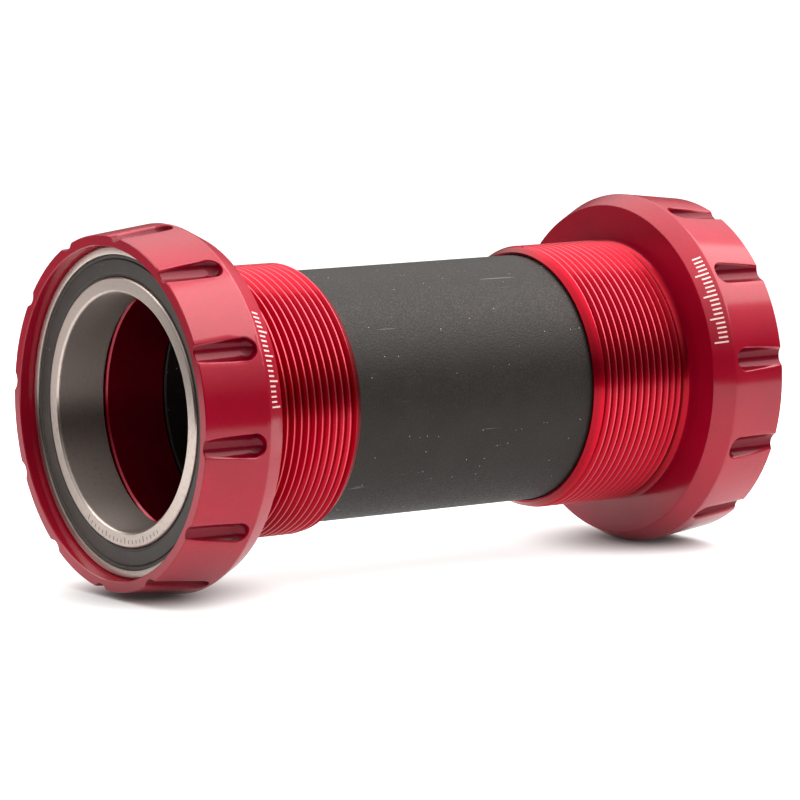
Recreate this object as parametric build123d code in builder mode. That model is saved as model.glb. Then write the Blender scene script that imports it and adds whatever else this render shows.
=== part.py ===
"""External-cup bottom bracket for a 30 mm spindle in a 68 mm threaded frame shell.

The origin is the middle of the shell, on the spindle axis. +Y points along the
spindle to the drive side and +Z is up. Each round piece is drawn as a section,
with X as the distance from the spindle axis, and is revolved about Y. The pieces
are drawn on the drive side, and their mirror images make the non-drive side.
"""

from build123d import *
from math import sqrt
import os

os.makedirs("parts", exist_ok=True)

# Frame shell and its thread, whose grooves are left out of this solid
shell_width = 68.0
thread_major_radius = 1.37 * 25.4 / 2
threads_per_inch = 24
thread_depth_per_pitch = 0.6134
thread_length = 12.7
neck_length = 1.6
neck_below_root = 0.05
flange_seat_gap = 0.25
lead_length = 1.2
lead_depth = 0.8

# Bearing 6806: 30 mm bore, 42 mm outside, 7 mm wide
bearing_bore_radius = 15.0
bearing_outer_radius = 21.0
bearing_width = 7.0
race_chamfer = 0.3
ball_radius = 1.75
ball_count = 17
ball_play = 0.02
race_conformity = 1.04
inner_land_gap = 1.0
outer_land_gap = 1.1

# Ball cage, an open crown that the balls snap into
cage_clearance = 0.25
cage_front = 1.1
pocket_clearance = 0.1

# Bearing seals, each a rubber disc bonded to a steel ring
seal_recess = 0.2
seal_thickness = 0.9
seal_gap = 0.05
seal_seat_wall = 1.15
seal_groove_depth = 0.25
seal_groove_width = 0.6
seal_ring_thickness = 0.25
seal_ring_inset = 0.6

# Cup flange, with the notches that the cup tool holds
bearing_recess = 2.0
race_shoulder_width = 1.4
race_shoulder_height = 0.6
flange_floor = 1.9
lip_wall = 1.4
flange_taper = 1.0
back_chamfer_length = 2.7
back_chamfer_depth = 1.35
notch_count = 12
notch_radius = 1.55
notch_wall = 0.85
notch_end_gap = 0.5
edge_break = 0.2

# Sleeve, and the seat in the cup that it plugs into
sleeve_seat_wall = 0.5
sleeve_seat_step = 0.75
sleeve_fit = 0.05
sleeve_wall = 0.85
sleeve_engagement = 8.5
sleeve_end_play = 0.3

# Where the first notch stopped when each cup was fitted, in degrees below +X
drive_notch_angle = -8.0
non_drive_notch_angle = 5.0

# Places along the axis, from the middle of the shell outwards
flange_back = shell_width / 2
race_relief = flange_back + flange_floor
bearing_back = race_relief + race_shoulder_height
bearing_centre = bearing_back + bearing_width / 2
lip_face = bearing_back + bearing_width + bearing_recess
neck_start = flange_back - neck_length
lead_end = neck_start - thread_length
cup_end = lead_end - lead_length
sleeve_end = cup_end + sleeve_engagement
seat_end = sleeve_end + sleeve_end_play

# Radii inside and outside the cup
thread_root_radius = thread_major_radius - thread_depth_per_pitch * 25.4 / threads_per_inch
sleeve_seat_radius = thread_root_radius - sleeve_seat_wall
cup_bore_radius = sleeve_seat_radius - sleeve_seat_step
lip_radius = bearing_outer_radius + lip_wall
flange_radius = lip_radius + flange_taper
notch_centre_radius = bearing_outer_radius + notch_wall + notch_radius

# Sizes inside the bearing
half_width = bearing_width / 2
ball_pitch_radius = (bearing_bore_radius + bearing_outer_radius) / 2
inner_land_radius = ball_pitch_radius - inner_land_gap
outer_land_radius = ball_pitch_radius + outer_land_gap
race_groove_radius = ball_radius * race_conformity
race_groove_offset = race_groove_radius - ball_radius - ball_play
seal_seat_radius = bearing_outer_radius - seal_seat_wall
seal_front = half_width - seal_recess
seal_back = seal_front - seal_thickness
seal_groove_middle = (seal_front + seal_back) / 2
seal_lip_radius = inner_land_radius + seal_gap
seal_body_radius = seal_seat_radius - seal_gap
seal_rim_radius = seal_body_radius + seal_groove_depth
seal_rim_reach = seal_groove_width / 2 - seal_gap
seal_ring_front = seal_back + seal_ring_thickness
seal_ring_inner_radius = seal_lip_radius + seal_ring_inset
seal_ring_outer_radius = seal_body_radius - seal_ring_inset
cage_back = seal_back - cage_clearance


def section_plane(distance):
    """Plane through the spindle axis, with its origin on the axis at a distance from the middle."""
    return Plane(origin=(0, distance, 0), x_dir=(1, 0, 0), z_dir=(0, 0, 1))


def face_plane(distance):
    """Plane square to the spindle axis, facing the drive side at a distance from the middle."""
    return Plane(origin=(0, distance, 0), x_dir=(1, 0, 0), z_dir=(0, 1, 0))


def make_cup(notch_angle):
    """Cup with its threaded barrel, flange, tool notches, bearing seat and sleeve seat."""
    neck_radius = thread_root_radius - neck_below_root
    neck_fillet = thread_major_radius + flange_seat_gap - neck_radius
    race_shoulder_radius = bearing_outer_radius - race_shoulder_width
    chamfer_edge = flange_back + back_chamfer_length
    notch_end_centre = chamfer_edge + notch_end_gap + notch_radius
    with BuildPart() as cup:
        with BuildSketch(section_plane(0)):
            with BuildLine():
                RadiusArc(
                    (neck_radius, flange_back - neck_fillet),
                    (neck_radius + neck_fillet, flange_back),
                    -neck_fillet,
                )
                Polyline(
                    (neck_radius + neck_fillet, flange_back),
                    (flange_radius - back_chamfer_depth, flange_back),
                    (flange_radius, chamfer_edge),
                    (lip_radius, lip_face - edge_break),
                    (lip_radius - edge_break, lip_face),
                    (bearing_outer_radius + edge_break, lip_face),
                    (bearing_outer_radius, lip_face - edge_break),
                    (bearing_outer_radius, bearing_back),
                    (race_shoulder_radius, bearing_back),
                    (race_shoulder_radius, race_relief),
                    (cup_bore_radius + edge_break, race_relief),
                    (cup_bore_radius, race_relief - edge_break),
                    (cup_bore_radius, seat_end),
                    (sleeve_seat_radius, seat_end),
                    (sleeve_seat_radius, cup_end + edge_break),
                    (sleeve_seat_radius + edge_break / 2, cup_end),
                    (thread_major_radius - lead_depth, cup_end),
                    (thread_major_radius, lead_end),
                    (thread_major_radius, neck_start),
                    (neck_radius, neck_start),
                    (neck_radius, flange_back - neck_fillet),
                )
            make_face()
        revolve(axis=Axis.Y)
        with Locations(face_plane(notch_end_centre)):
            with PolarLocations(notch_centre_radius, notch_count, start_angle=notch_angle):
                Sphere(notch_radius, mode=Mode.SUBTRACT)
                Cylinder(
                    notch_radius,
                    lip_face - notch_end_centre,
                    align=(Align.CENTER, Align.CENTER, Align.MIN),
                    mode=Mode.SUBTRACT,
                )
    return cup


def make_outer_race():
    """Outer race, grooved for the balls and stepped for a seal on each face."""
    groove_middle = ball_pitch_radius - race_groove_offset
    groove_reach = sqrt(race_groove_radius**2 - (outer_land_radius - groove_middle) ** 2)
    rim_groove_radius = seal_seat_radius + seal_groove_depth
    with BuildPart() as race:
        with BuildSketch(section_plane(bearing_centre)):
            with BuildLine():
                Polyline(
                    (bearing_outer_radius, 0),
                    (bearing_outer_radius, half_width - race_chamfer),
                    (bearing_outer_radius - race_chamfer, half_width),
                    (seal_seat_radius, half_width),
                    (seal_seat_radius, seal_groove_middle + seal_groove_width / 2),
                    (rim_groove_radius, seal_groove_middle + seal_groove_width / 2),
                    (rim_groove_radius, seal_groove_middle - seal_groove_width / 2),
                    (seal_seat_radius, seal_groove_middle - seal_groove_width / 2),
                    (seal_seat_radius, seal_back - seal_gap),
                    (outer_land_radius, seal_back - seal_gap),
                    (outer_land_radius, groove_reach),
                )
                RadiusArc(
                    (outer_land_radius, groove_reach),
                    (groove_middle + race_groove_radius, 0),
                    race_groove_radius,
                )
                mirror(about=Plane.XZ)
            make_face()
        revolve(axis=Axis.Y)
    return race


def make_inner_race():
    """Inner race, grooved for the balls, with the bore that holds the spindle."""
    groove_middle = ball_pitch_radius + race_groove_offset
    groove_reach = sqrt(race_groove_radius**2 - (groove_middle - inner_land_radius) ** 2)
    with BuildPart() as race:
        with BuildSketch(section_plane(bearing_centre)):
            with BuildLine():
                Polyline(
                    (bearing_bore_radius, 0),
                    (bearing_bore_radius, half_width - race_chamfer),
                    (bearing_bore_radius + race_chamfer, half_width),
                    (inner_land_radius - race_chamfer / 2, half_width),
                    (inner_land_radius, half_width - race_chamfer / 2),
                    (inner_land_radius, groove_reach),
                )
                RadiusArc(
                    (inner_land_radius, groove_reach),
                    (groove_middle - race_groove_radius, 0),
                    -race_groove_radius,
                )
                mirror(about=Plane.XZ)
            make_face()
        revolve(axis=Axis.Y)
    return race


def make_balls():
    """Ring of ceramic balls."""
    with BuildPart() as balls:
        with Locations(face_plane(bearing_centre)):
            with PolarLocations(ball_pitch_radius, ball_count):
                Sphere(ball_radius)
    return balls


def make_ball_cage():
    """Crown cage, with its closed side inboard and its pockets open outboard."""
    with BuildPart() as cage:
        with BuildSketch(face_plane(bearing_centre - cage_back)):
            Circle(outer_land_radius - cage_clearance)
            Circle(inner_land_radius + cage_clearance, mode=Mode.SUBTRACT)
        extrude(amount=cage_back + cage_front)
        with Locations(face_plane(bearing_centre)):
            with PolarLocations(ball_pitch_radius, ball_count):
                Sphere(ball_radius + pocket_clearance, mode=Mode.SUBTRACT)
    return cage


def make_seal():
    """Rubber outboard seal, its rim in the outer race and its lip beside the inner race."""
    with BuildPart() as seal:
        with BuildSketch(section_plane(bearing_centre)):
            with BuildLine():
                Polyline(
                    (seal_lip_radius, seal_ring_front),
                    (seal_lip_radius, seal_front - seal_gap),
                    (seal_lip_radius + seal_gap, seal_front),
                    (seal_body_radius, seal_front),
                    (seal_body_radius, seal_groove_middle + seal_rim_reach),
                    (seal_rim_radius, seal_groove_middle + seal_rim_reach),
                    (seal_rim_radius, seal_groove_middle - seal_rim_reach),
                    (seal_body_radius, seal_groove_middle - seal_rim_reach),
                    (seal_body_radius, seal_back),
                    (seal_ring_outer_radius, seal_back),
                    (seal_ring_outer_radius, seal_ring_front),
                    (seal_ring_inner_radius, seal_ring_front),
                    (seal_ring_inner_radius, seal_back),
                    (seal_ring_inner_radius - seal_gap, seal_back),
                    close=True,
                )
            make_face()
        revolve(axis=Axis.Y)
    return seal


def make_seal_ring():
    """Steel ring that stiffens the outboard seal, bonded to its back."""
    with BuildPart() as ring:
        with BuildSketch(face_plane(bearing_centre + seal_back)):
            Circle(seal_ring_outer_radius)
            Circle(seal_ring_inner_radius, mode=Mode.SUBTRACT)
        extrude(amount=seal_ring_thickness)
    return ring


def turn_inboard(outboard):
    """The same piece on the bearing's inboard face."""
    with BuildPart() as inboard:
        add(outboard.part)
        mirror(about=face_plane(bearing_centre), mode=Mode.REPLACE)
    return inboard


def make_sleeve():
    """Plastic sleeve that keeps dirt in the shell away from the spindle and the bearings."""
    sleeve_radius = sleeve_seat_radius - sleeve_fit
    with BuildPart() as sleeve:
        with BuildSketch(face_plane(-sleeve_end)):
            Circle(sleeve_radius)
            Circle(sleeve_radius - sleeve_wall, mode=Mode.SUBTRACT)
        extrude(amount=2 * sleeve_end)
        chamfer(sleeve.edges().filter_by(GeomType.CIRCLE), edge_break)
    return sleeve


def write(block, label, mirrored=False):
    """Labels and writes a piece, or its mirror image for the non-drive side."""
    with BuildPart() as piece:
        add(block.part)
        if mirrored:
            mirror(about=Plane.XZ, mode=Mode.REPLACE)
    piece.part.label = label
    export_step(piece.part, f"parts/{label}.step")


outboard_seal = make_seal()
outboard_seal_ring = make_seal_ring()
bearing_pieces = {
    "outer_race": make_outer_race(),
    "inner_race": make_inner_race(),
    "balls": make_balls(),
    "ball_cage": make_ball_cage(),
    "outboard_seal": outboard_seal,
    "outboard_seal_ring": outboard_seal_ring,
    "inboard_seal": turn_inboard(outboard_seal),
    "inboard_seal_ring": turn_inboard(outboard_seal_ring),
}

write(make_sleeve(), "centre_sleeve")
write(make_cup(drive_notch_angle), "drive_cup")
write(make_cup(non_drive_notch_angle), "non_drive_cup", mirrored=True)
for piece_name, block in bearing_pieces.items():
    write(block, f"drive_{piece_name}")
    write(block, f"non_drive_{piece_name}", mirrored=True)
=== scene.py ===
"""Looks of a threaded external-cup bottom bracket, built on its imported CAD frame.

The spindle axis is Y, with the drive side at +Y, and Z is up. Each round piece is
drawn in millimetres on the drive side, as a section of (radius, distance along the
spindle), is spun or lofted about the axis, and is mirrored for the non-drive side.
"""

import logging
from collections.abc import Sequence
from dataclasses import dataclass, field
from enum import Enum
from math import acos, asin, atan2, cos, hypot, pi, radians, sin, sqrt

import bmesh
import bpy
from mathutils import Matrix, Vector


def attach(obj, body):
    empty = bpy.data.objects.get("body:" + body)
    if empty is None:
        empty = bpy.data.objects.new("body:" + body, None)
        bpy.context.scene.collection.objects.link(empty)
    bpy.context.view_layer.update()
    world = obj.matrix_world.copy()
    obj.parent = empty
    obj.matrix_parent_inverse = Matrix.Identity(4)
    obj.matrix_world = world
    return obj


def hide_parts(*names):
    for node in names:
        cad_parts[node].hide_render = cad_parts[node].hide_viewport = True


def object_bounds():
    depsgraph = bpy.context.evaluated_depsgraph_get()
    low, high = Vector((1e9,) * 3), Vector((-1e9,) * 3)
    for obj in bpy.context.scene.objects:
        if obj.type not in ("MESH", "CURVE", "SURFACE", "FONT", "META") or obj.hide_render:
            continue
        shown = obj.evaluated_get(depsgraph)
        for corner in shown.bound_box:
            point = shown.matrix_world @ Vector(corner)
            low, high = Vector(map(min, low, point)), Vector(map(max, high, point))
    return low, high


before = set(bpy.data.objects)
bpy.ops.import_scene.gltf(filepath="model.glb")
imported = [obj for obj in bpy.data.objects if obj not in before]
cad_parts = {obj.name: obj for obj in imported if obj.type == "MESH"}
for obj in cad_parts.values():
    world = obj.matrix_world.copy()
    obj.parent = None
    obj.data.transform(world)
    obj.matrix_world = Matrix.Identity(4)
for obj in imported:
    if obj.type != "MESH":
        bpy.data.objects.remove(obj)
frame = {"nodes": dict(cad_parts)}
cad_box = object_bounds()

log = logging.getLogger("bottom_bracket")

MILLIMETRE = 0.001

# Sizes of the cup that both its shape and its finish follow, in millimetres
CREST_RADIUS = 17.399
CONE_START, CONE_END = 36.7, 45.5
CONE_RADII = (23.4, 22.4)

Section = Sequence[tuple[float, float]]
Colour = tuple[float, float, float]


class Side(Enum):
    """One side of the frame shell, with the word that its CAD names start with."""

    DRIVE = "drive"
    NON_DRIVE = "non_drive"

    @property
    def direction(self) -> int:
        """The side's direction along the spindle axis, +1 or -1."""
        return 1 if self is Side.DRIVE else -1

    def named(self, piece: str) -> str:
        """The side's own name for a piece, node or body."""
        return f"{self.value}_{piece}"


class Facing(Enum):
    """Which way a bearing seal's outer face looks from the middle of its bearing."""

    OUTBOARD = "outboard"
    INBOARD = "inboard"


# Finishes


class Graph:
    """A node graph, with short ways to add its nodes and join them."""

    def __init__(self, tree: bpy.types.NodeTree) -> None:
        """Starts on a node tree.

        Args:
            tree: The tree of a material or of the room.
        """
        self.nodes = tree.nodes
        self.links = tree.links

    def node(self, kind: str, **settings: object) -> bpy.types.Node:
        """Adds a node.

        Args:
            kind: The node's type name.
            **settings: The node's own options.

        Returns:
            The new node.
        """
        made = self.nodes.new(kind)
        for option, value in settings.items():
            setattr(made, option, value)
        return made

    def feed(self, socket: bpy.types.NodeSocket, value: object) -> None:
        """Joins an output to a socket, or sets the socket to a plain value.

        Args:
            socket: The input to fill.
            value: An output socket, a number, or a colour or vector.
        """
        if isinstance(value, bpy.types.NodeSocket):
            self.links.new(value, socket)
        else:
            socket.default_value = value

    def maths(self, operation: str, *values: object) -> bpy.types.NodeSocket:
        """Does one sum on numbers.

        Args:
            operation: The Math node's operation.
            *values: Its inputs, as numbers or outputs.

        Returns:
            The result.
        """
        sum_node = self.node("ShaderNodeMath", operation=operation)
        for socket, value in zip(sum_node.inputs, values):
            self.feed(socket, value)
        return sum_node.outputs[0]

    def ramp(self, value: object, low: float, high: float, start: float = 0, end: float = 1) -> bpy.types.NodeSocket:
        """Turns a stretch of one value into a smooth step.

        Args:
            value: The number to read.
            low: Where the step starts.
            high: Where the step ends.
            start: The result below low.
            end: The result above high.

        Returns:
            The result.
        """
        step = self.node("ShaderNodeMapRange", interpolation_type="SMOOTHSTEP")
        for name, given in zip(("Value", "From Min", "From Max", "To Min", "To Max"), (value, low, high, start, end)):
            self.feed(step.inputs[name], given)
        return step.outputs["Result"]

    def blend(self, share: object, first: object, second: object) -> bpy.types.NodeSocket:
        """Mixes two colours.

        Args:
            share: The share of the second colour.
            first: A colour or an output.
            second: A colour or an output.

        Returns:
            The mixed colour.
        """
        mix = self.node("ShaderNodeMix", data_type="RGBA")
        self.feed(mix.inputs["Factor"], share)
        for name, given in (("A", first), ("B", second)):
            socket = next(s for s in mix.inputs if s.name == name and s.type == "RGBA")
            self.feed(socket, (*given, 1.0) if isinstance(given, tuple) else given)
        return next(s for s in mix.outputs if s.type == "RGBA")

    def within(self, value: object, low: object, high: object) -> bpy.types.NodeSocket:
        """Makes a mask that is 1 where a value lies between two limits, and 0 elsewhere."""
        return self.maths("MULTIPLY", self.maths("GREATER_THAN", value, low), self.maths("LESS_THAN", value, high))


class MaterialGraph(Graph):
    """The node graph of one new material, with the patterns that its finishes share."""

    def __init__(self, name: str) -> None:
        """Starts a material.

        Args:
            name: The material's name.
        """
        self.material = bpy.data.materials.new(name)
        self.material.use_nodes = True
        super().__init__(self.material.node_tree)
        self.body = self.nodes["Principled BSDF"]
        self.place = self.node("ShaderNodeTexCoord").outputs["Object"]

    def grain(
        self, size: float, detail: float = 3.0, place: object = None, swirl: object = None
    ) -> bpy.types.NodeSocket:
        """Adds a noise pattern.

        Args:
            size: The size of its features, in millimetres.
            detail: How many finer layers it has.
            place: The coordinates to read, or None for the piece's own.
            swirl: A fourth coordinate, or None.

        Returns:
            The noise, from 0 to 1.
        """
        noise = self.node("ShaderNodeTexNoise", noise_dimensions="3D" if swirl is None else "4D")
        self.feed(noise.inputs["Vector"], self.place if place is None else place)
        if swirl is not None:
            self.feed(noise.inputs["W"], swirl)
        noise.inputs["Scale"].default_value = 1 / (size * MILLIMETRE)
        noise.inputs["Detail"].default_value = detail
        return noise.outputs["Fac"]

    def turned(self) -> tuple[bpy.types.NodeSocket, ...]:
        """Reads where a point is on a turned piece.

        Returns:
            Its radius and its distance along the spindle, in metres, and its angle from +X in degrees.
        """
        split = self.node("ShaderNodeSeparateXYZ")
        self.feed(split.inputs[0], self.place)
        across, along, up = split.outputs
        square = self.maths("ADD", self.maths("MULTIPLY", across, across), self.maths("MULTIPLY", up, up))
        angle = self.maths("MULTIPLY", self.maths("ARCTAN2", up, across), 180 / pi)
        return self.maths("SQRT", square), along, angle

    def lathe_marks(self, size: float, length: float) -> bpy.types.NodeSocket:
        """Adds the fine rings that a lathe or a grinding wheel leaves round a piece.

        Args:
            size: The width of one ring, in millimetres.
            length: How far a ring runs round the piece before it fades, in ring widths.

        Returns:
            The height of the marks, from 0 to 1.
        """
        radius, along, _ = self.turned()
        split = self.node("ShaderNodeSeparateXYZ")
        self.feed(split.inputs[0], self.place)
        join = self.node("ShaderNodeCombineXYZ")
        self.feed(join.inputs[0], radius)
        self.feed(join.inputs[1], along)
        self.feed(join.inputs[2], self.maths("DIVIDE", split.outputs[0], length))
        return self.grain(size, 4.0, join.outputs[0], self.maths("DIVIDE", split.outputs[2], length))

    def lay_grain(self, amount: float) -> None:
        """Spreads the gloss across the lathe's rings, as fine turned grooves do.

        Args:
            amount: How much wider the gloss is across the rings, from 0 to 1.
        """
        around = self.node("ShaderNodeVectorMath", operation="CROSS_PRODUCT")
        around.inputs[0].default_value = (0, 1, 0)
        self.feed(around.inputs[1], self.place)
        turned = self.node(
            "ShaderNodeVectorTransform", vector_type="VECTOR", convert_from="OBJECT", convert_to="WORLD"
        )
        self.feed(turned.inputs[0], around.outputs[0])
        self.feed(self.body.inputs["Tangent"], turned.outputs[0])
        self.body.inputs["Anisotropic"].default_value = amount
        self.body.inputs["Anisotropic Rotation"].default_value = 0.25

    def relief(self, height: object, strength: float, depth: float, under: object = None) -> bpy.types.NodeSocket:
        """Turns a height into a tilt of the surface.

        Args:
            height: The height, from 0 to 1.
            strength: How much of it shows.
            depth: Its depth, in millimetres.
            under: Another relief that this one lies on, or None.

        Returns:
            The surface direction.
        """
        bump = self.node("ShaderNodeBump")
        bump.inputs["Strength"].default_value = strength
        bump.inputs["Distance"].default_value = depth * MILLIMETRE
        self.feed(bump.inputs["Height"], height)
        if under is not None:
            self.feed(bump.inputs["Normal"], under)
        return bump.outputs["Normal"]


@dataclass(frozen=True)
class TickRow:
    """A row of plain etched ticks round a turned face, every fifth one longer."""

    start: float
    end: float
    pitch: float
    inner: float
    outer: float
    thickness: float = 0.34

    def mask(self, graph: MaterialGraph) -> bpy.types.NodeSocket:
        """Makes the row's mask.

        Args:
            graph: The material that the row is etched into.

        Returns:
            1 on a tick and 0 elsewhere.
        """
        radius, _, angle = graph.turned()
        turn = graph.maths("DIVIDE", graph.maths("SUBTRACT", angle, self.start), self.pitch)
        stroke = graph.maths("LESS_THAN", graph.maths("FRACT", turn), self.thickness)
        fifth = graph.maths("LESS_THAN", graph.maths("FLOORED_MODULO", turn, 5.0), 1.0)
        band = (self.outer - self.inner) * MILLIMETRE
        short_start = self.inner * MILLIMETRE + 0.35 * band
        low = graph.maths("SUBTRACT", short_start, graph.maths("MULTIPLY", fifth, 0.35 * band))
        stroke = graph.maths("MULTIPLY", stroke, graph.within(radius, low, self.outer * MILLIMETRE))
        return graph.maths("MULTIPLY", stroke, graph.within(angle, self.start, self.end))


@dataclass(frozen=True)
class RedAnodise:
    """Red anodised aluminium: a dyed satin metal under a clear hard oxide layer."""

    name: str
    ticks: TickRow
    dye: Colour = (0.35, 0.0012, 0.0210)
    deep_dye: Colour = (0.325, 0.0010, 0.0190)
    thread_dye: Colour = (0.42, 0.0008, 0.015)
    # Paler crest colour: partly thinner dye, partly a painted highlight
    crest_wear_and_highlight_dye: Colour = (0.60, 0.080, 0.110)
    # Painted shade deep in the thread's grooves
    root_shade_dye: Colour = (0.20, 0.0003, 0.0060)
    # Painted shade in the notches
    notch_shade_dye: Colour = (0.13, 0.0006, 0.0095)
    etched: Colour = (0.80, 0.62, 0.58)
    coat: float = 0.66
    thread_coat: float = 0.18
    notch_coat_cut: float = 0.36
    satin: tuple[float, float] = (0.68, 0.76)
    thread_polish: float = 0.37
    bore_polish: float = 0.30
    barrel_inside: float = 16.4
    barrel_end: float = 33.9
    chamfer_start: float = 34.05

    def in_notch(self, graph: MaterialGraph, radius: object, distance: object) -> bpy.types.NodeSocket:
        """Finds the walls of the milled notches, which lie just inside the flange's cone.

        Args:
            graph: The material.
            radius: The distance from the axis, in metres.
            distance: The distance from the middle along the axis, in metres.

        Returns:
            1 on a notch's wall and 0 elsewhere.
        """
        wide, narrow = CONE_RADII
        slope = (narrow - wide) / (CONE_END - CONE_START)
        start = (wide - slope * CONE_START - 0.08) * MILLIMETRE
        surface = graph.maths("ADD", graph.maths("MULTIPLY", distance, slope), start)
        share = graph.ramp(graph.maths("SUBTRACT", surface, radius), 0.0, 0.25 * MILLIMETRE)
        outside_lip = graph.maths("GREATER_THAN", radius, 21.4 * MILLIMETRE)
        on_cone = graph.within(distance, (CONE_START + 0.3) * MILLIMETRE, (CONE_END - 0.02) * MILLIMETRE)
        return graph.maths("MULTIPLY", graph.maths("MULTIPLY", share, on_cone), outside_lip)

    def make(self) -> bpy.types.Material:
        """Makes the material.

        Returns:
            The material.
        """
        graph = MaterialGraph(self.name)
        body = graph.body
        radius, along, _ = graph.turned()
        distance = graph.maths("ABSOLUTE", along)
        cloud = graph.grain(6.0, 3.0)
        dye = graph.blend(graph.ramp(cloud, 0.35, 0.65), self.dye, self.deep_dye)
        # Paler crests: the dye is thinner on sharp crests, and the paleness is also a painted highlight standing in
        # for the bright crest lines
        crest_wear_and_highlight = graph.ramp(radius, (CREST_RADIUS - 0.06) * MILLIMETRE, CREST_RADIUS * MILLIMETRE, 0.0, 0.72)
        in_bore = graph.maths("LESS_THAN", radius, self.barrel_inside * MILLIMETRE)
        on_thread = graph.maths(
            "MULTIPLY",
            graph.maths("LESS_THAN", distance, self.barrel_end * MILLIMETRE),
            graph.maths("GREATER_THAN", radius, self.barrel_inside * MILLIMETRE),
        )
        dye = graph.blend(on_thread, dye, self.thread_dye)
        dye = graph.blend(graph.maths("MULTIPLY", crest_wear_and_highlight, on_thread), dye, self.crest_wear_and_highlight_dye)
        # Painted shade: the thread darkens towards its roots, deep in the grooves
        root = graph.ramp(radius, 16.85 * MILLIMETRE, 17.30 * MILLIMETRE, 0.75, 0.0)
        dye = graph.blend(graph.maths("MULTIPLY", root, on_thread), dye, self.root_shade_dye)
        # Painted shade: the walls of the notches are darkened, as shade falls in them
        milled = self.in_notch(graph, radius, distance)
        dye = graph.blend(graph.maths("MULTIPLY", milled, 0.80), dye, self.notch_shade_dye)
        on_chamfer = graph.within(distance, self.chamfer_start * MILLIMETRE, CONE_START * MILLIMETRE)
        tick = graph.maths("MULTIPLY", self.ticks.mask(graph), on_chamfer)
        graph.feed(body.inputs["Base Color"], graph.blend(tick, dye, self.etched))
        rings = graph.lathe_marks(0.10, 60.0)
        haze = graph.ramp(graph.grain(0.35, 5.0), 0.3, 0.8, *self.satin)
        for place, polish in ((on_thread, self.thread_polish), (in_bore, self.bore_polish)):
            haze = graph.maths("SUBTRACT", haze, graph.maths("MULTIPLY", place, polish))
        graph.feed(body.inputs["Roughness"], graph.maths("MAXIMUM", haze, graph.maths("MULTIPLY", tick, 0.6)))
        body.inputs["Metallic"].default_value = 1.0
        coat = graph.maths("SUBTRACT", self.coat, graph.maths("MULTIPLY", on_thread, self.coat - self.thread_coat))
        coat = graph.maths("SUBTRACT", coat, graph.maths("MULTIPLY", milled, self.notch_coat_cut))
        graph.feed(body.inputs["Coat Weight"], coat)
        body.inputs["Coat IOR"].default_value = 1.5
        body.inputs["Coat Roughness"].default_value = 0.13
        graph.lay_grain(0.5)
        graph.feed(body.inputs["Normal"], graph.relief(rings, 0.15, 0.004))
        graph.feed(body.inputs["Coat Normal"], graph.relief(rings, 0.08, 0.003))
        return graph.material


@dataclass(frozen=True)
class GroundSteel:
    """Bearing steel with ground faces and a finely honed bore, which is darkened and browned with painted shade."""

    name: str
    ticks: TickRow
    face: Colour = (0.475, 0.398, 0.358)
    shade: Colour = (0.38, 0.33, 0.30)
    # Painted shade inside the bore
    bore: Colour = (0.115, 0.092, 0.083)
    scuffed: Colour = (0.30, 0.27, 0.245)
    etched: Colour = (0.10, 0.085, 0.075)
    bore_edge: float = 15.1

    def make(self) -> bpy.types.Material:
        """Makes the material.

        Returns:
            The material.
        """
        graph = MaterialGraph(self.name)
        body = graph.body
        rings = graph.lathe_marks(0.09, 40.0)
        scuffs = graph.ramp(graph.grain(0.5, 6.0), 0.45, 0.75)
        steel = graph.blend(graph.maths("MULTIPLY", rings, 0.8), self.face, self.shade)
        steel = graph.blend(graph.maths("MULTIPLY", scuffs, 0.35), steel, self.scuffed)
        # Painted shade: the bore is darker and browner, as the inside of the race lies in shade
        in_bore = graph.maths("LESS_THAN", graph.turned()[0], self.bore_edge * MILLIMETRE)
        steel = graph.blend(graph.maths("MULTIPLY", in_bore, 0.66), steel, self.bore)
        tick = self.ticks.mask(graph)
        graph.feed(body.inputs["Base Color"], graph.blend(graph.maths("MULTIPLY", tick, 0.8), steel, self.etched))
        rough = graph.maths("ADD", graph.ramp(scuffs, 0.0, 1.0, 0.30, 0.40), graph.maths("MULTIPLY", in_bore, 0.22))
        graph.feed(body.inputs["Roughness"], rough)
        body.inputs["Metallic"].default_value = 1.0
        graph.lay_grain(0.9)
        graph.feed(body.inputs["Normal"], graph.relief(rings, 0.5, 0.006))
        return graph.material


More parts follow.
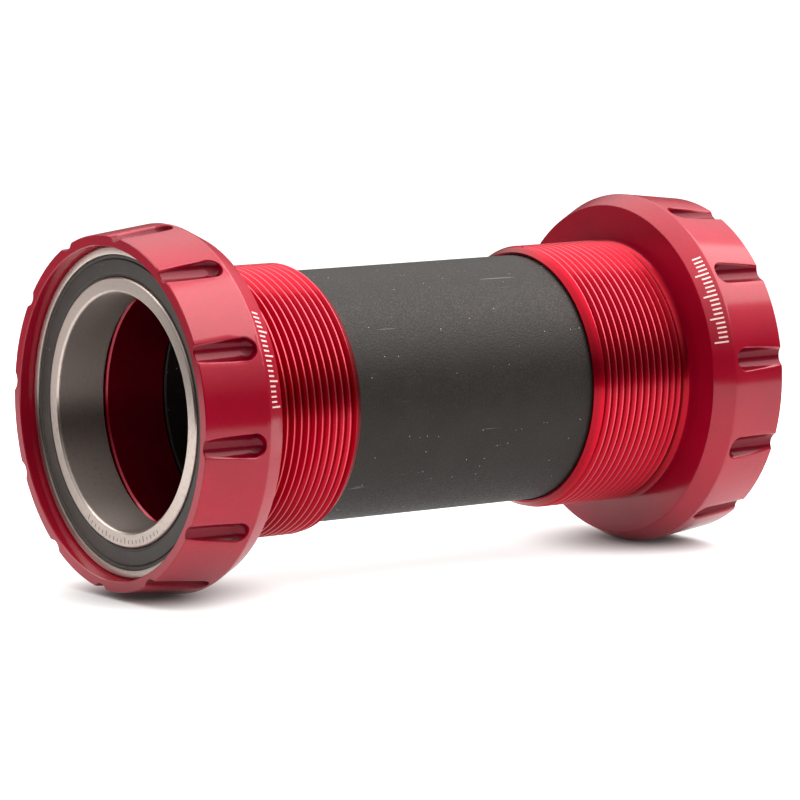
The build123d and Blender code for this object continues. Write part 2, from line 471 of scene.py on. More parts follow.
@dataclass(frozen=True)
class Plastic:
    """A plain polymer or rubber with a fine surface grain, dust specks and scuffs."""

    name: str
    colour: Colour
    shade: Colour
    roughness: float
    grain: float
    depth: float
    dust: float = 0.0
    scuffs: float = 0.0
    specular: float = 0.5
    gloss_tint: Colour = (1.0, 1.0, 1.0)
    hairline: Colour = (0.34, 0.32, 0.30)
    speck: Colour = (0.50, 0.47, 0.43)

    def make(self) -> bpy.types.Material:
        """Makes the material.

        Returns:
            The material.
        """
        graph = MaterialGraph(self.name)
        body = graph.body
        fine = graph.grain(self.grain, 3.0)
        base = graph.blend(graph.ramp(graph.grain(4.0, 4.0), 0.3, 0.7), self.colour, self.shade)
        base = graph.blend(graph.ramp(fine, 0.50, 0.72, 0.0, 0.55), base, tuple(2.6 * c for c in self.colour))
        if self.scuffs:
            stretch = graph.node("ShaderNodeMapping")
            stretch.inputs["Rotation"].default_value = (radians(12), radians(25), radians(8))
            stretch.inputs["Scale"].default_value = (1.0, 0.035, 1.0)
            graph.feed(stretch.inputs["Vector"], graph.place)
            hair = graph.grain(0.55, 2.0, stretch.outputs[0])
            patch = graph.ramp(graph.grain(9.0, 2.0), 0.50, 0.62)
            line = graph.maths("MULTIPLY", graph.ramp(hair, 0.705, 0.74), patch)
            base = graph.blend(graph.maths("MULTIPLY", line, self.scuffs), base, self.hairline)
        if self.dust:
            specks = graph.node("ShaderNodeTexVoronoi", feature="F1")
            graph.feed(specks.inputs["Vector"], graph.place)
            specks.inputs["Scale"].default_value = 1 / (0.75 * MILLIMETRE)
            chosen = graph.node("ShaderNodeSeparateColor")
            graph.feed(chosen.inputs[0], specks.outputs["Color"])
            few = graph.maths("GREATER_THAN", chosen.outputs[0], 0.80)
            dot = graph.maths("LESS_THAN", specks.outputs["Distance"], 0.085)
            share = graph.maths("MULTIPLY", graph.maths("MULTIPLY", few, dot), self.dust)
            base = graph.blend(share, base, self.speck)
        graph.feed(body.inputs["Base Color"], base)
        rough = graph.ramp(fine, 0.3, 0.7, self.roughness - 0.10, self.roughness + 0.10)
        graph.feed(body.inputs["Roughness"], rough)
        body.inputs["Specular IOR Level"].default_value = self.specular
        body.inputs["Specular Tint"].default_value = (*self.gloss_tint, 1.0)
        graph.feed(body.inputs["Normal"], graph.relief(fine, 0.6, self.depth))
        return graph.material


@dataclass(frozen=True)
class HardMetal:
    """A small hidden metal or ceramic piece, with fine polishing marks."""

    name: str
    colour: Colour
    shade: Colour
    roughness: float
    metallic: float

    def make(self) -> bpy.types.Material:
        """Makes the material.

        Returns:
            The material.
        """
        graph = MaterialGraph(self.name)
        fine = graph.grain(0.2, 4.0)
        graph.feed(graph.body.inputs["Base Color"], graph.blend(fine, self.colour, self.shade))
        rough = graph.ramp(fine, 0.3, 0.7, self.roughness - 0.05, self.roughness + 0.05)
        graph.feed(graph.body.inputs["Roughness"], rough)
        graph.body.inputs["Metallic"].default_value = self.metallic
        graph.feed(graph.body.inputs["Normal"], graph.relief(fine, 0.3, 0.002))
        return graph.material


# Shapes


class Turning:
    """A closed shell about the spindle axis, grown ring by ring in a bmesh."""

    def __init__(self, name: str) -> None:
        """Starts an empty shell.

        Args:
            name: The piece's name.
        """
        self.name = name
        self.mesh = bmesh.new()

    def spin(self, section: Section, steps: int, closed: bool = True) -> None:
        """Spins a section one full turn about the axis.

        Args:
            section: The section's corners.
            steps: How many faces go round.
            closed: Whether the last corner joins the first.
        """
        corners = [self.mesh.verts.new((radius, along, 0)) for radius, along in section]
        sides = [self.mesh.edges.new(pair) for pair in zip(corners, corners[1:])]
        if closed:
            sides.append(self.mesh.edges.new((corners[-1], corners[0])))
        bmesh.ops.spin(
            self.mesh, geom=corners + sides, cent=(0, 0, 0), axis=(0, 1, 0), angle=2 * pi, steps=steps, use_merge=True
        )

    def break_edges(self, width: float, sharper_than: float = 20.0) -> None:
        """Rounds every edge that turns more than an angle.

        Args:
            width: The rounding's width, in millimetres.
            sharper_than: The angle, in degrees.
        """
        limit = radians(sharper_than)
        sharp = [e for e in self.mesh.edges if e.is_manifold and e.calc_face_angle() > limit]
        bmesh.ops.bevel(
            self.mesh, geom=sharp, offset=width, offset_type="OFFSET", affect="EDGES", segments=2, profile=0.5,
            material=-1,
        )

    def open_loop(self, along: float) -> list[bmesh.types.BMEdge]:
        """Finds the open edges that lie at one distance along the axis."""
        return [e for e in self.mesh.edges if e.is_boundary and all(abs(v.co.y - along) < 1e-3 for v in e.verts)]

    def extend(self, loop: Sequence[bmesh.types.BMEdge], radius: float, along: float) -> list[bmesh.types.BMEdge]:
        """Extrudes an open loop and moves its new points to a circle, each at its own angle.

        Args:
            loop: The open edges.
            radius: The circle's radius.
            along: The circle's distance along the axis.

        Returns:
            The new open edges.
        """
        grown = bmesh.ops.extrude_edge_only(self.mesh, edges=list(loop))["geom"]
        for vert in (g for g in grown if isinstance(g, bmesh.types.BMVert)):
            size = radius / hypot(vert.co.x, vert.co.z)
            vert.co = (vert.co.x * size, along, vert.co.z * size)
        return [g for g in grown if isinstance(g, bmesh.types.BMEdge) and g.is_boundary]

    def finish(self, side: Side, smooth_below: float = 37.0) -> bpy.types.Object:
        """Closes the shell and makes its object.

        Args:
            side: The side of the bracket that it belongs to.
            smooth_below: The angle, in degrees, past which an edge stays sharp.

        Returns:
            The piece, at the origin and in metres.
        """
        bmesh.ops.scale(self.mesh, vec=(1, side.direction, 1), verts=self.mesh.verts)
        bmesh.ops.remove_doubles(self.mesh, verts=self.mesh.verts, dist=2e-3)
        bmesh.ops.recalc_face_normals(self.mesh, faces=self.mesh.faces)
        bmesh.ops.scale(self.mesh, vec=(MILLIMETRE,) * 3, verts=self.mesh.verts)
        open_edges = sum(not e.is_manifold for e in self.mesh.edges)
        shape = bpy.data.meshes.new(self.name)
        self.mesh.to_mesh(shape)
        self.mesh.free()
        shape.polygons.foreach_set("use_smooth", [True] * len(shape.polygons))
        shape.set_sharp_from_angle(angle=radians(smooth_below))
        piece = bpy.data.objects.new(self.name, shape)
        bpy.context.scene.collection.objects.link(piece)
        weighted = piece.modifiers.new("Even shading", "WEIGHTED_NORMAL")
        weighted.keep_sharp = True
        log.info("%s: %d faces, %d open edges", self.name, len(shape.polygons), open_edges)
        return piece


@dataclass(frozen=True)
class NotchRow:
    """The ring of round-bottomed notches that the cup tool grips.

    Each notch takes the same run of points on every ring, so its rim is one clean line.
    """

    first_angle: float
    count: int = 12
    radius: float = 1.55
    centre_radius: float = 23.4
    end_centre: float = 38.75
    rim_break: float = 0.10
    plain_rim: float = 0.50
    arc_steps: int = 12
    land_steps: int = 16
    plain_half_angle: float = 3.6

    @property
    def sector_steps(self) -> int:
        """Points round the ring from one notch to the next."""
        return self.arc_steps + self.land_steps + 2

    @property
    def ring_steps(self) -> int:
        """Points in a whole ring."""
        return self.count * self.sector_steps

    def half_arc(self, radius: float, along: float) -> tuple[float, float, float]:
        """Where a ring meets the notch.

        Args:
            radius: The ring's radius.
            along: The ring's distance along the axis.

        Returns:
            The notch's radius there, half its arc, and half the ring's angle inside it, in radians.
        """
        short = max(self.end_centre - along, 0.0)
        size = sqrt(max(self.radius**2 - short**2, 0.0))
        gap = self.centre_radius - radius
        if size <= abs(gap) + 1e-6:
            return 0.0, 0.0, 0.0
        share = (radius**2 + self.centre_radius**2 - size**2) / (2 * radius * self.centre_radius)
        angle = acos(min(share, 1.0))
        side = radius * sin(angle)
        reach = self.centre_radius - radius * cos(angle)
        return size, atan2(side, reach), angle

    def point(self, index: int, radius: float, along: float, cut: bool) -> tuple[float, float]:
        """Places one point of a ring.

        Args:
            index: The point's number round the ring.
            radius: The ring's radius between notches.
            along: The ring's distance along the axis.
            cut: Whether the ring follows the notches.

        Returns:
            The point's radius and its angle, in radians.
        """
        sector, step = divmod(index, self.sector_steps)
        middle = radians(self.first_angle + sector * 360 / self.count)
        pitch = 2 * pi / self.count
        if cut:
            size, arc, angle = self.half_arc(radius, along)
            rim = min(self.rim_break, 0.25 * size)
        else:
            size, arc, angle = 0.0, 0.0, radians(self.plain_half_angle)
            rim = self.plain_rim
        if step <= self.arc_steps:
            share = 2 * step / self.arc_steps - 1
            if not cut or not size:
                return radius, middle + share * angle
            turn = share * (arc - rim / size)
            across, out = size * sin(turn), self.centre_radius - size * cos(turn)
            return hypot(across, out), middle + atan2(across, out)
        edge = angle + rim / radius
        share = (step - self.arc_steps - 1) / self.land_steps
        return radius, middle + edge + share * (pitch - 2 * edge)


@dataclass
class Cup:
    """One cup: threaded barrel, seating flange, tool notches, bearing seat and sleeve seat."""

    side: Side
    notches: NotchRow
    finish: RedAnodise
    cup_end: float = 18.5
    lead_end: float = 19.7
    lead_radius: float = 16.6
    thread_start: float = 19.4
    crest_radius: float = CREST_RADIUS
    thread_pitch: float = 25.4 / 24
    thread_depth: float = 0.649
    neck_start: float = 32.4
    neck_radius: float = 16.70
    neck_fillet: float = 0.95
    flange_back: float = 34.0
    back_radius: float = 22.05
    chamfer_edge: float = CONE_START
    flange_radius: float = CONE_RADII[0]
    lip_face: float = CONE_END
    lip_radius: float = CONE_RADII[1]
    seat_radius: float = 21.0
    seat_floor: float = 36.5
    shoulder_radius: float = 19.6
    shoulder_floor: float = 35.9
    bore_radius: float = 15.5
    sleeve_seat_end: float = 27.3
    sleeve_seat_radius: float = 16.25
    edge: float = 0.12

    def thread_section(self) -> list[tuple[float, float]]:
        """Draws one pitch of the thread, from root to root."""
        pitch, depth = self.thread_pitch, self.thread_depth
        tooth = (
            (-0.500, 1.0), (-0.440, 0.985), (-0.400, 0.93), (-0.105, 0.075), (-0.062, 0.012),
            (0.062, 0.012), (0.105, 0.075), (0.400, 0.93), (0.440, 0.985), (0.500, 1.0),
        )
        return [(self.crest_radius - depth * drop, self.cup_end + share * pitch) for share, drop in tooth]

    def cone_radius(self, along: float) -> float:
        """The flange's radius between notches, at a distance along the axis."""
        share = (along - self.chamfer_edge) / (self.lip_face - self.chamfer_edge)
        return self.flange_radius + share * (self.lip_radius - self.flange_radius)

    def cut_thread(self, shell: Turning) -> None:
        """Winds the thread round the barrel as one left-hand helix and trims its ends.

        Args:
            shell: The cup's shell.
        """
        steps = self.notches.ring_steps
        corners = [shell.mesh.verts.new((r, y, 0)) for r, y in self.thread_section()]
        sides = [shell.mesh.edges.new(pair) for pair in zip(corners, corners[1:])]
        bmesh.ops.spin(
            shell.mesh, geom=corners + sides, cent=(0, 0, 0), axis=(0, 1, 0), angle=2 * pi, steps=steps,
            dvec=(0, -self.thread_pitch / steps, 0),
        )
        turn = [*shell.mesh.verts, *shell.mesh.edges, *shell.mesh.faces]
        for count in range(1, int((self.neck_start - self.cup_end) / self.thread_pitch) + 3):
            copy = bmesh.ops.duplicate(shell.mesh, geom=turn)["geom"]
            points = [part for part in copy if isinstance(part, bmesh.types.BMVert)]
            bmesh.ops.translate(shell.mesh, vec=(0, count * self.thread_pitch, 0), verts=points)
        bmesh.ops.remove_doubles(shell.mesh, verts=shell.mesh.verts, dist=1e-3)
        for along, facing in ((self.cup_end, -1), (self.neck_start, 1), (self.lead_end, 0)):
            bmesh.ops.bisect_plane(
                shell.mesh, geom=[*shell.mesh.verts, *shell.mesh.edges, *shell.mesh.faces], dist=1e-4,
                plane_co=(0, along, 0), plane_no=(0, facing or 1, 0), clear_outer=bool(facing),
            )
        slope = (self.crest_radius - self.lead_radius) / (self.lead_end - self.cup_end)
        for vert in shell.mesh.verts:
            radius = hypot(vert.co.x, vert.co.z)
            limit = self.lead_radius + slope * (vert.co.y - self.cup_end)
            if radius > limit or vert.co.y < self.thread_start:
                vert.co.x, vert.co.z = vert.co.x * limit / radius, vert.co.z * limit / radius

    def flange_rings(self) -> list[tuple[float, float, bool]]:
        """Lists the flange's rings from its back face round to the edge of the lip face.

        Returns:
            Each ring's radius, its distance along the axis, and whether it follows the notches.
        """
        edge, notches = self.edge, self.notches
        run, rise = self.chamfer_edge - self.flange_back, self.flange_radius - self.back_radius
        slant = hypot(run, rise)
        rings = [
            (self.back_radius - edge, self.flange_back, False),
            (self.back_radius + edge * rise / slant, self.flange_back + edge * run / slant, False),
            (self.flange_radius - edge * rise / slant, self.chamfer_edge - edge * run / slant, False),
            (self.cone_radius(self.chamfer_edge + edge), self.chamfer_edge + edge, False),
            (self.cone_radius(37.05), 37.05, False),
        ]
        gap = notches.centre_radius - self.cone_radius(37.2)
        tip = asin(sqrt(1 - (1.06 * gap / notches.radius) ** 2))
        for step in range(11):
            along = notches.end_centre - notches.radius * sin(tip * (1 - step / 10))
            rings.append((self.cone_radius(along), along, True))
        for along in (40.4, 42.1, 43.8, self.lip_face - edge):
            rings.append((self.cone_radius(along), along, True))
        return rings

    def inner_section(self) -> list[tuple[float, float]]:
        """Draws the rest of the cup, from the lip face inwards to the sleeve seat's end."""
        edge = self.edge
        return [
            (self.seat_radius + edge, self.lip_face),
            (self.seat_radius, self.lip_face - edge),
            (self.seat_radius, self.seat_floor),
            (self.shoulder_radius + edge, self.seat_floor),
            (self.shoulder_radius, self.seat_floor - edge),
            (self.shoulder_radius, self.shoulder_floor),
            (self.bore_radius + 2 * edge, self.shoulder_floor),
            (self.bore_radius, self.shoulder_floor - 2 * edge),
            (self.bore_radius, self.sleeve_seat_end),
            (self.sleeve_seat_radius, self.sleeve_seat_end),
            (self.sleeve_seat_radius, self.cup_end + edge),
            (self.sleeve_seat_radius + edge, self.cup_end),
        ]

    def form_flange(self, shell: Turning) -> tuple[list[bmesh.types.BMEdge], list[bmesh.types.BMEdge]]:
        """Grows the flange from a circle, ring by ring.

        Args:
            shell: The cup's shell.

        Returns:
            The open loop on the back face, and the open loop on the barrel's end.
        """
        count = self.notches.ring_steps
        start = bmesh.ops.create_circle(shell.mesh, cap_ends=False, radius=1, segments=count)["verts"]
        ring = [start[0]]
        seen = {start[0]}
        while len(ring) < count:
            ahead = next(e.other_vert(ring[-1]) for e in ring[-1].link_edges if e.other_vert(ring[-1]) not in seen)
            ring.append(ahead)
            seen.add(ahead)

        def settle(verts: list[bmesh.types.BMVert], radius: float, along: float, cut: bool) -> None:
            """Moves a ring's points to their places."""
            for index, vert in enumerate(verts):
                size, angle = self.notches.point(index, radius, along, cut)
                vert.co = (size * cos(angle), along, size * sin(angle))

        def grow(verts: list[bmesh.types.BMVert]) -> list[bmesh.types.BMVert]:
            """Extrudes a ring and returns the new one in the same order."""
            pairs = zip(verts, verts[1:] + verts[:1])
            edges = [shell.mesh.edges.get(pair) for pair in pairs]
            grown = set(bmesh.ops.extrude_edge_only(shell.mesh, edges=edges)["geom"])
            return [next(e.other_vert(v) for e in v.link_edges if e.other_vert(v) in grown) for v in verts]

        rings = self.flange_rings()
        settle(ring, *rings[0])
        back_loop = [shell.mesh.edges.get(pair) for pair in zip(ring, ring[1:] + ring[:1])]
        for placed in rings[1:]:
            ring = grow(ring)
            settle(ring, *placed)
        rim = [Vector(vert.co) for vert in ring]
        ring = grow(ring)
        for vert, outer in zip(ring, rim):
            size = hypot(outer.x, outer.z)
            share = (size - self.edge) / size
            vert.co = (outer.x * share, self.lip_face, outer.z * share)
        for radius, along in self.inner_section():
            ring = grow(ring)
            for vert, outer in zip(ring, rim):
                share = radius / hypot(outer.x, outer.z)
                vert.co = (outer.x * share, along, outer.z * share)
        return back_loop, [shell.mesh.edges.get(pair) for pair in zip(ring, ring[1:] + ring[:1])]

    def build(self) -> bpy.types.Object:
        """Builds the cup's mesh.

        Returns:
            The cup.
        """
        shell = Turning(self.side.named("threaded_cup"))
        self.cut_thread(shell)
        barrel_end = shell.open_loop(self.cup_end)
        neck = shell.open_loop(self.neck_start)
        fillet_start = self.flange_back - self.neck_fillet
        neck = shell.extend(neck, self.neck_radius, self.neck_start)
        neck = shell.extend(neck, self.neck_radius, fillet_start)
        for step in range(1, 9):
            turn = pi / 2 * step / 8
            radius = self.neck_radius + self.neck_fillet * (1 - cos(turn))
            neck = shell.extend(neck, radius, fillet_start + self.neck_fillet * sin(turn))
        back_loop, seat_loop = self.form_flange(shell)
        bmesh.ops.bridge_loops(shell.mesh, edges=[*neck, *back_loop])
        bmesh.ops.bridge_loops(shell.mesh, edges=[*barrel_end, *seat_loop])
        return shell.finish(self.side)

    def dress(self, piece: bpy.types.Object) -> None:
        """Gives the cup its finish and its body.

        Args:
            piece: The cup.
        """
        piece.data.materials.append(self.finish.make())
        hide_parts(self.side.named("cup"))
        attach(piece, self.side.named("cup"))


@dataclass
class Bearing:
    """One sealed bearing, seen as its two races and its two rubber seals."""

    side: Side
    race_finish: bpy.types.Material
    seal_finish: bpy.types.Material
    centre: float = 40.0
    half_width: float = 3.5
    bore_radius: float = 15.0
    outer_radius: float = 21.0
    inner_land: float = 17.0
    outer_land: float = 19.1
    seal_seat: float = 19.85
    seal_groove: float = 20.1
    raceway_radius: float = 1.82
    pitch_radius: float = 18.0
    race_chamfer: float = 0.3
    seal_recess: float = 0.2
    seal_thickness: float = 0.9
    steps: int = 256

    def raceway(self, land: float, inward: bool) -> list[tuple[float, float]]:
        """Draws the groove that the balls run in.

        Args:
            land: The radius of the race beside the groove.
            inward: Whether the groove is cut towards the axis.

        Returns:
            The groove's points, from the outboard edge to the inboard one.
        """
        way = -1 if inward else 1
        middle = self.pitch_radius - way * (self.raceway_radius - 1.75 - 0.02)
        half = acos(abs(land - middle) / self.raceway_radius)
        turns = [half * (1 - 2 * step / 12) for step in range(13)]
        return [
            (middle + way * self.raceway_radius * cos(t), self.centre + self.raceway_radius * sin(t)) for t in turns
        ]

    def outer_section(self) -> list[tuple[float, float]]:
        """Draws the outer race, with a stepped seat for each seal."""
        c, h, cut = self.centre, self.half_width, self.race_chamfer
        back = h - self.seal_recess - self.seal_thickness
        mid = back + self.seal_thickness / 2
        front = [
            (self.outer_radius, c + h - cut), (self.outer_radius - cut, c + h), (self.seal_seat, c + h),
            (self.seal_seat, c + mid + 0.3), (self.seal_groove, c + mid + 0.3), (self.seal_groove, c + mid - 0.3),
            (self.seal_seat, c + mid - 0.3), (self.seal_seat, c + back), (self.outer_land, c + back),
        ]
        mirrored = [(r, 2 * c - y) for r, y in reversed(front)]
        return front + self.raceway(self.outer_land, False) + mirrored

    def inner_section(self) -> list[tuple[float, float]]:
        """Draws the inner race, with a small step that the seal's lip covers."""
        c, h, cut = self.centre, self.half_width, self.race_chamfer
        front = [
            (self.bore_radius, c + h - cut), (self.bore_radius + cut, c + h),
            (self.inner_land - 0.18, c + h), (self.inner_land, c + h - 0.18),
        ]
        mirrored = [(r, 2 * c - y) for r, y in reversed(front)]
        return front + self.raceway(self.inner_land, True) + mirrored

    def seal_section(self, facing: Facing) -> list[tuple[float, float]]:
        """Draws one seal: its rim bead, a shallow groove, the wide face and the thin lip.

        Args:
            facing: Which face of the bearing it closes.

        Returns:
            The section's corners.
        """
        front = self.half_width - self.seal_recess
        back = front - self.seal_thickness
        lip, body, rim = self.inner_land + 0.05, self.seal_seat - 0.05, self.seal_seat + 0.20
        mid = (front + back) / 2
        across = [
            (lip, back + 0.3), (lip, front - 0.22), (lip + 0.16, front - 0.10), (lip + 0.30, front - 0.16),
            (lip + 0.42, front), (body - 0.62, front), (body - 0.54, front - 0.20), (body - 0.40, front - 0.20),
            (body - 0.32, front), (body, front), (body, mid + 0.25), (rim, mid + 0.25), (rim, mid - 0.25),
            (body, mid - 0.25), (body, back + 0.3),
        ]
        way = 1 if facing is Facing.OUTBOARD else -1
        return [(r, self.centre + way * y) for r, y in across]

    def build(self) -> list[tuple[bpy.types.Object, str, str, str]]:
        """Builds the races and the seals.

        Returns:
            Each piece with the CAD node it stands for, its material slot and its body.
        """
        rows = [
            ("turned_outer_race", self.outer_section(), "outer_race", "ground_steel", "cup"),
            ("turned_inner_race", self.inner_section(), "inner_race", "ground_steel", "inner_race"),
        ] + [
            (f"{f.value}_rubber_seal", self.seal_section(f), f"{f.value}_seal", "seal_rubber", "cup") for f in Facing
        ]
        made = []
        for name, section, node, slot, body in rows:
            shell = Turning(self.side.named(name))
            shell.spin(section, self.steps)
            shell.break_edges(0.05 if slot == "ground_steel" else 0.03)
            made.append((shell.finish(self.side), self.side.named(node), slot, self.side.named(body)))
        return made

    def dress(self, rows: list[tuple[bpy.types.Object, str, str, str]]) -> None:
        """Gives the races and seals their finishes and bodies.

        Args:
            rows: The pieces as build gives them.
        """
        for piece, node, slot, body in rows:
            piece.data.materials.append(self.race_finish if slot == "ground_steel" else self.seal_finish)
            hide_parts(node)
            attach(piece, body)


@dataclass
class CentreSleeve:
    """The moulded tube that keeps dirt from the spindle between the cups."""

    finish: Plastic
    half_length: float = 27.0
    outer_radius: float = 16.2
    inner_radius: float = 15.35
    chamfer: float = 0.2
    steps: int = 256

    def build(self) -> bpy.types.Object:
        """Builds the sleeve.

        Returns:
            The sleeve.
        """
        end, cut = self.half_length, self.chamfer
        half = [
            (self.inner_radius, end - cut), (self.inner_radius + cut, end),
            (self.outer_radius - cut, end), (self.outer_radius, end - cut),
        ]
        shell = Turning("moulded_sleeve")
        shell.spin(half + [(r, -y) for r, y in reversed(half)], self.steps)
        shell.break_edges(0.04)
        return shell.finish(Side.DRIVE)

    def dress(self, piece: bpy.types.Object) -> None:
        """Gives the sleeve its finish and its body.

        Args:
            piece: The sleeve.
        """
        piece.data.materials.append(self.finish.make())
        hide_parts("centre_sleeve")
        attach(piece, "sleeve")


@dataclass
class HiddenPieces:
    """The CAD pieces inside each bearing, which keep their shape and get a finish."""

    nodes: dict[str, bpy.types.Object]
    finishes: dict[str, object] = field(default_factory=dict)

    def dress(self) -> None:
        """Gives each piece its finish by the end of its name."""
        for ending, finish in self.finishes.items():
            material = finish.make()
            for side in Side:
                for name in (n for n in self.nodes if n.startswith(side.value) and n.endswith(ending)):
                    mesh = self.nodes[name].data
                    mesh.materials.clear()
                    mesh.materials.append(material)
                    log.info("%s: finish %s", name, material.name)


# Studio


@dataclass
class Studio:
    """A pale floor, soft light and the camera."""

    object_base: float
    floor_radius: float = 0.24
    floor_tone: float = 0.52
    floor_glow: float = 0.78
    # Glow where the cups rest: a painted contact shadow
    contact_shadow_glow: float = 0.02
    room_strength: float = 4.6
    front_dome: float = 0.40
    backdrop_tone: float = 1.3
    room_tones: Sequence[tuple[float, float]] = (
        (0.0, 0.50), (0.420, 0.45), (0.438, 0.03), (0.60, 0.035), (0.70, 0.20), (0.85, 0.50), (1.0, 0.75)
    )
    contact_places: float = 0.040
    camera_place: tuple[float, float, float] = (0.50723, -0.36443, 0.07847)
    camera_forward: tuple[float, float, float] = (-0.80595, 0.57814, -0.12724)
    lens: float = 217.57

    def lay_floor(self) -> None:
        """Lays the round floor that the object rests on."""
        mesh = bmesh.new()
        bmesh.ops.create_circle(mesh, cap_ends=True, radius=self.floor_radius, segments=128)
        bmesh.ops.translate(mesh, vec=(0, 0, self.object_base), verts=mesh.verts)
        shape = bpy.data.meshes.new("studio_floor")
        mesh.to_mesh(shape)
        mesh.free()
        floor = bpy.data.objects.new("studio_floor", shape)
        bpy.context.scene.collection.objects.link(floor)
        graph = MaterialGraph("floor_paper")
        tone = self.floor_tone
        paper = graph.blend(graph.grain(30.0, 2.0), (tone, tone, tone), (0.97 * tone,) * 3)
        graph.feed(graph.body.inputs["Base Color"], paper)
        graph.body.inputs["Roughness"].default_value = 0.9
        graph.body.inputs["Specular IOR Level"].default_value = 0.0
        graph.body.inputs["Emission Color"].default_value = (1.0, 0.99, 0.98, 1.0)
        split = graph.node("ShaderNodeSeparateXYZ")
        graph.feed(split.inputs[0], graph.place)
        aside = graph.maths("POWER", split.outputs[0], 2.0)
        ahead = graph.maths("SUBTRACT", graph.maths("ABSOLUTE", split.outputs[1]), self.contact_places)
        away = graph.maths("SQRT", graph.maths("ADD", aside, graph.maths("POWER", ahead, 2.0)))
        # The floor glows evenly, but the glow fades near where the cups rest: a painted contact shadow
        glow_with_contact_shadow = graph.ramp(away, 0.002, 0.020, self.contact_shadow_glow, self.floor_glow)
        graph.feed(graph.body.inputs["Emission Strength"], glow_with_contact_shadow)
        shape.materials.append(graph.material)

    def light_room(self) -> None:
        """Sets the room: bright above, a dark band near the horizon and white below it."""
        world = bpy.data.worlds.new("studio_room")
        bpy.context.scene.world = world
        world.use_nodes = True
        graph = Graph(world.node_tree)
        split = graph.node("ShaderNodeSeparateXYZ")
        graph.feed(split.inputs[0], graph.node("ShaderNodeTexCoord").outputs["Generated"])
        _, along, up = split.outputs
        height = graph.node("ShaderNodeValToRGB")
        graph.feed(height.inputs["Fac"], graph.maths("MULTIPLY_ADD", up, 0.5, 0.5))
        elements = height.color_ramp.elements
        while len(elements) < len(self.room_tones):
            elements.new(0.5)
        for element, (spot, tone) in zip(elements, self.room_tones):
            element.position = spot
            element.color = (tone, tone * 0.985, tone * 0.965, 1)
        # Above the horizon, the non-drive end of the room is dimmer
        dimmed = graph.ramp(along, -0.9, 0.2, self.front_dome, 1.0)
        dimmed = graph.maths("MAXIMUM", dimmed, graph.maths("LESS_THAN", up, -0.05))
        light = graph.node("ShaderNodeVectorMath", operation="SCALE")
        graph.feed(light.inputs[0], height.outputs["Color"])
        graph.feed(light.inputs["Scale"], graph.maths("MULTIPLY", dimmed, self.room_strength))
        seen = graph.node("ShaderNodeLightPath").outputs["Is Camera Ray"]
        shown = graph.blend(seen, light.outputs[0], (self.backdrop_tone,) * 3)
        graph.feed(graph.nodes["Background"].inputs["Color"], shown)

    def hang_softbox(
        self, name: str, towards: tuple[float, float, float], distance: float, size: tuple[float, float], power: float
    ) -> None:
        """Hangs a softbox that faces the object.

        Args:
            name: The light's name.
            towards: The direction from the object to the light.
            distance: Its distance, in metres.
            size: Its width and height, in metres.
            power: Its power, in watts.
        """
        lamp = bpy.data.lights.new(name, "AREA")
        lamp.shape = "RECTANGLE"
        lamp.size, lamp.size_y = size
        lamp.energy = power
        lamp.color = (1.0, 0.985, 0.965)
        holder = bpy.data.objects.new(name, lamp)
        holder.location = Vector(towards).normalized() * distance
        holder.rotation_euler = Vector(towards).to_track_quat("Z", "Y").to_euler()
        bpy.context.scene.collection.objects.link(holder)

    def place_camera(self) -> None:
        """Places the camera, level with the horizon."""
        lens = bpy.data.cameras.new("studio_camera")
        lens.lens = self.lens
        lens.sensor_width = 36
        lens.clip_start, lens.clip_end = 0.01, 20
        camera = bpy.data.objects.new("studio_camera", lens)
        forward = Vector(self.camera_forward).normalized()
        right = forward.cross(Vector((0, 0, 1))).normalized()
        up = right.cross(forward)
        turn = Matrix((right, up, -forward)).transposed()
        camera.matrix_world = Matrix.Translation(self.camera_place) @ turn.to_4x4()
        bpy.context.scene.collection.objects.link(camera)
        bpy.context.scene.camera = camera
        bpy.context.scene.view_settings.view_transform = "Standard"

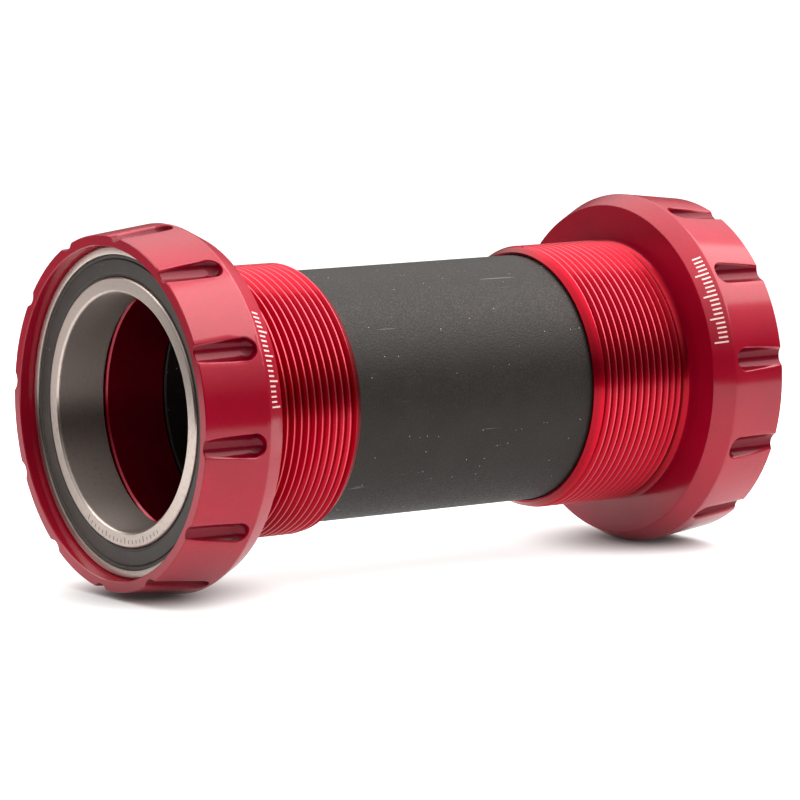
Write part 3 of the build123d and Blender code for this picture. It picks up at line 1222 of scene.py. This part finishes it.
    def build(self) -> None:
        """Sets up the whole studio."""
        self.lay_floor()
        self.light_room()
        self.hang_softbox("side_softbox", (0.30, 0.578, 0.75), 0.9, (0.90, 0.70), 7.6)
        self.hang_softbox("front_softbox", (-0.55, -0.45, 0.70), 0.9, (0.60, 0.60), 2.6)
        self.place_camera()


def main() -> None:
    """Builds every sub-assembly in order and reports each piece."""
    logging.basicConfig(level=logging.INFO, format="%(name)s %(message)s")
    chamfer_ticks = {
        Side.DRIVE: TickRow(start=14.0, end=46.0, pitch=1.6, inner=22.3, outer=23.15),
        Side.NON_DRIVE: TickRow(start=6.0, end=37.5, pitch=1.6, inner=22.3, outer=23.15),
    }
    first_notch = {Side.DRIVE: 8.0, Side.NON_DRIVE: -5.0}
    race_ticks = TickRow(start=-119.0, end=-57.0, pitch=3.1, inner=15.75, outer=16.5, thickness=0.24)
    steel = GroundSteel("bearing_steel", race_ticks).make()
    rubber = Plastic(
        "seal_rubber_face", colour=(0.040, 0.034, 0.030), shade=(0.030, 0.026, 0.023), roughness=0.55, grain=0.12,
        depth=0.006, dust=0.8, specular=0.35,
    ).make()
    for side in Side:
        finish = RedAnodise(f"{side.value}_cup_anodise", chamfer_ticks[side])
        cup = Cup(side, NotchRow(first_notch[side]), finish)
        cup.dress(cup.build())
        bearing = Bearing(side, steel, rubber)
        bearing.dress(bearing.build())
    sleeve = CentreSleeve(
        Plastic(
            "sleeve_moulding", colour=(0.0100, 0.0082, 0.0072), shade=(0.0070, 0.0057, 0.0051), roughness=0.50,
            grain=0.25, depth=0.100, dust=0.7, scuffs=0.35, specular=0.23, gloss_tint=(1.0, 0.91, 0.87),
        )
    )
    sleeve.dress(sleeve.build())
    HiddenPieces(
        frame["nodes"],
        {
            "balls": HardMetal("ball_ceramic", (0.05, 0.05, 0.055), (0.07, 0.07, 0.075), 0.14, 0.0),
            "ball_cage": Plastic("cage_moulding", (0.30, 0.27, 0.20), (0.26, 0.23, 0.17), 0.5, 0.2, 0.004),
            "seal_ring": HardMetal("stamped_steel", (0.45, 0.44, 0.42), (0.36, 0.35, 0.33), 0.32, 1.0),
        },
    ).dress()
    Studio(object_base=cad_box[0][2]).build()


if __name__ == "__main__":
    main()
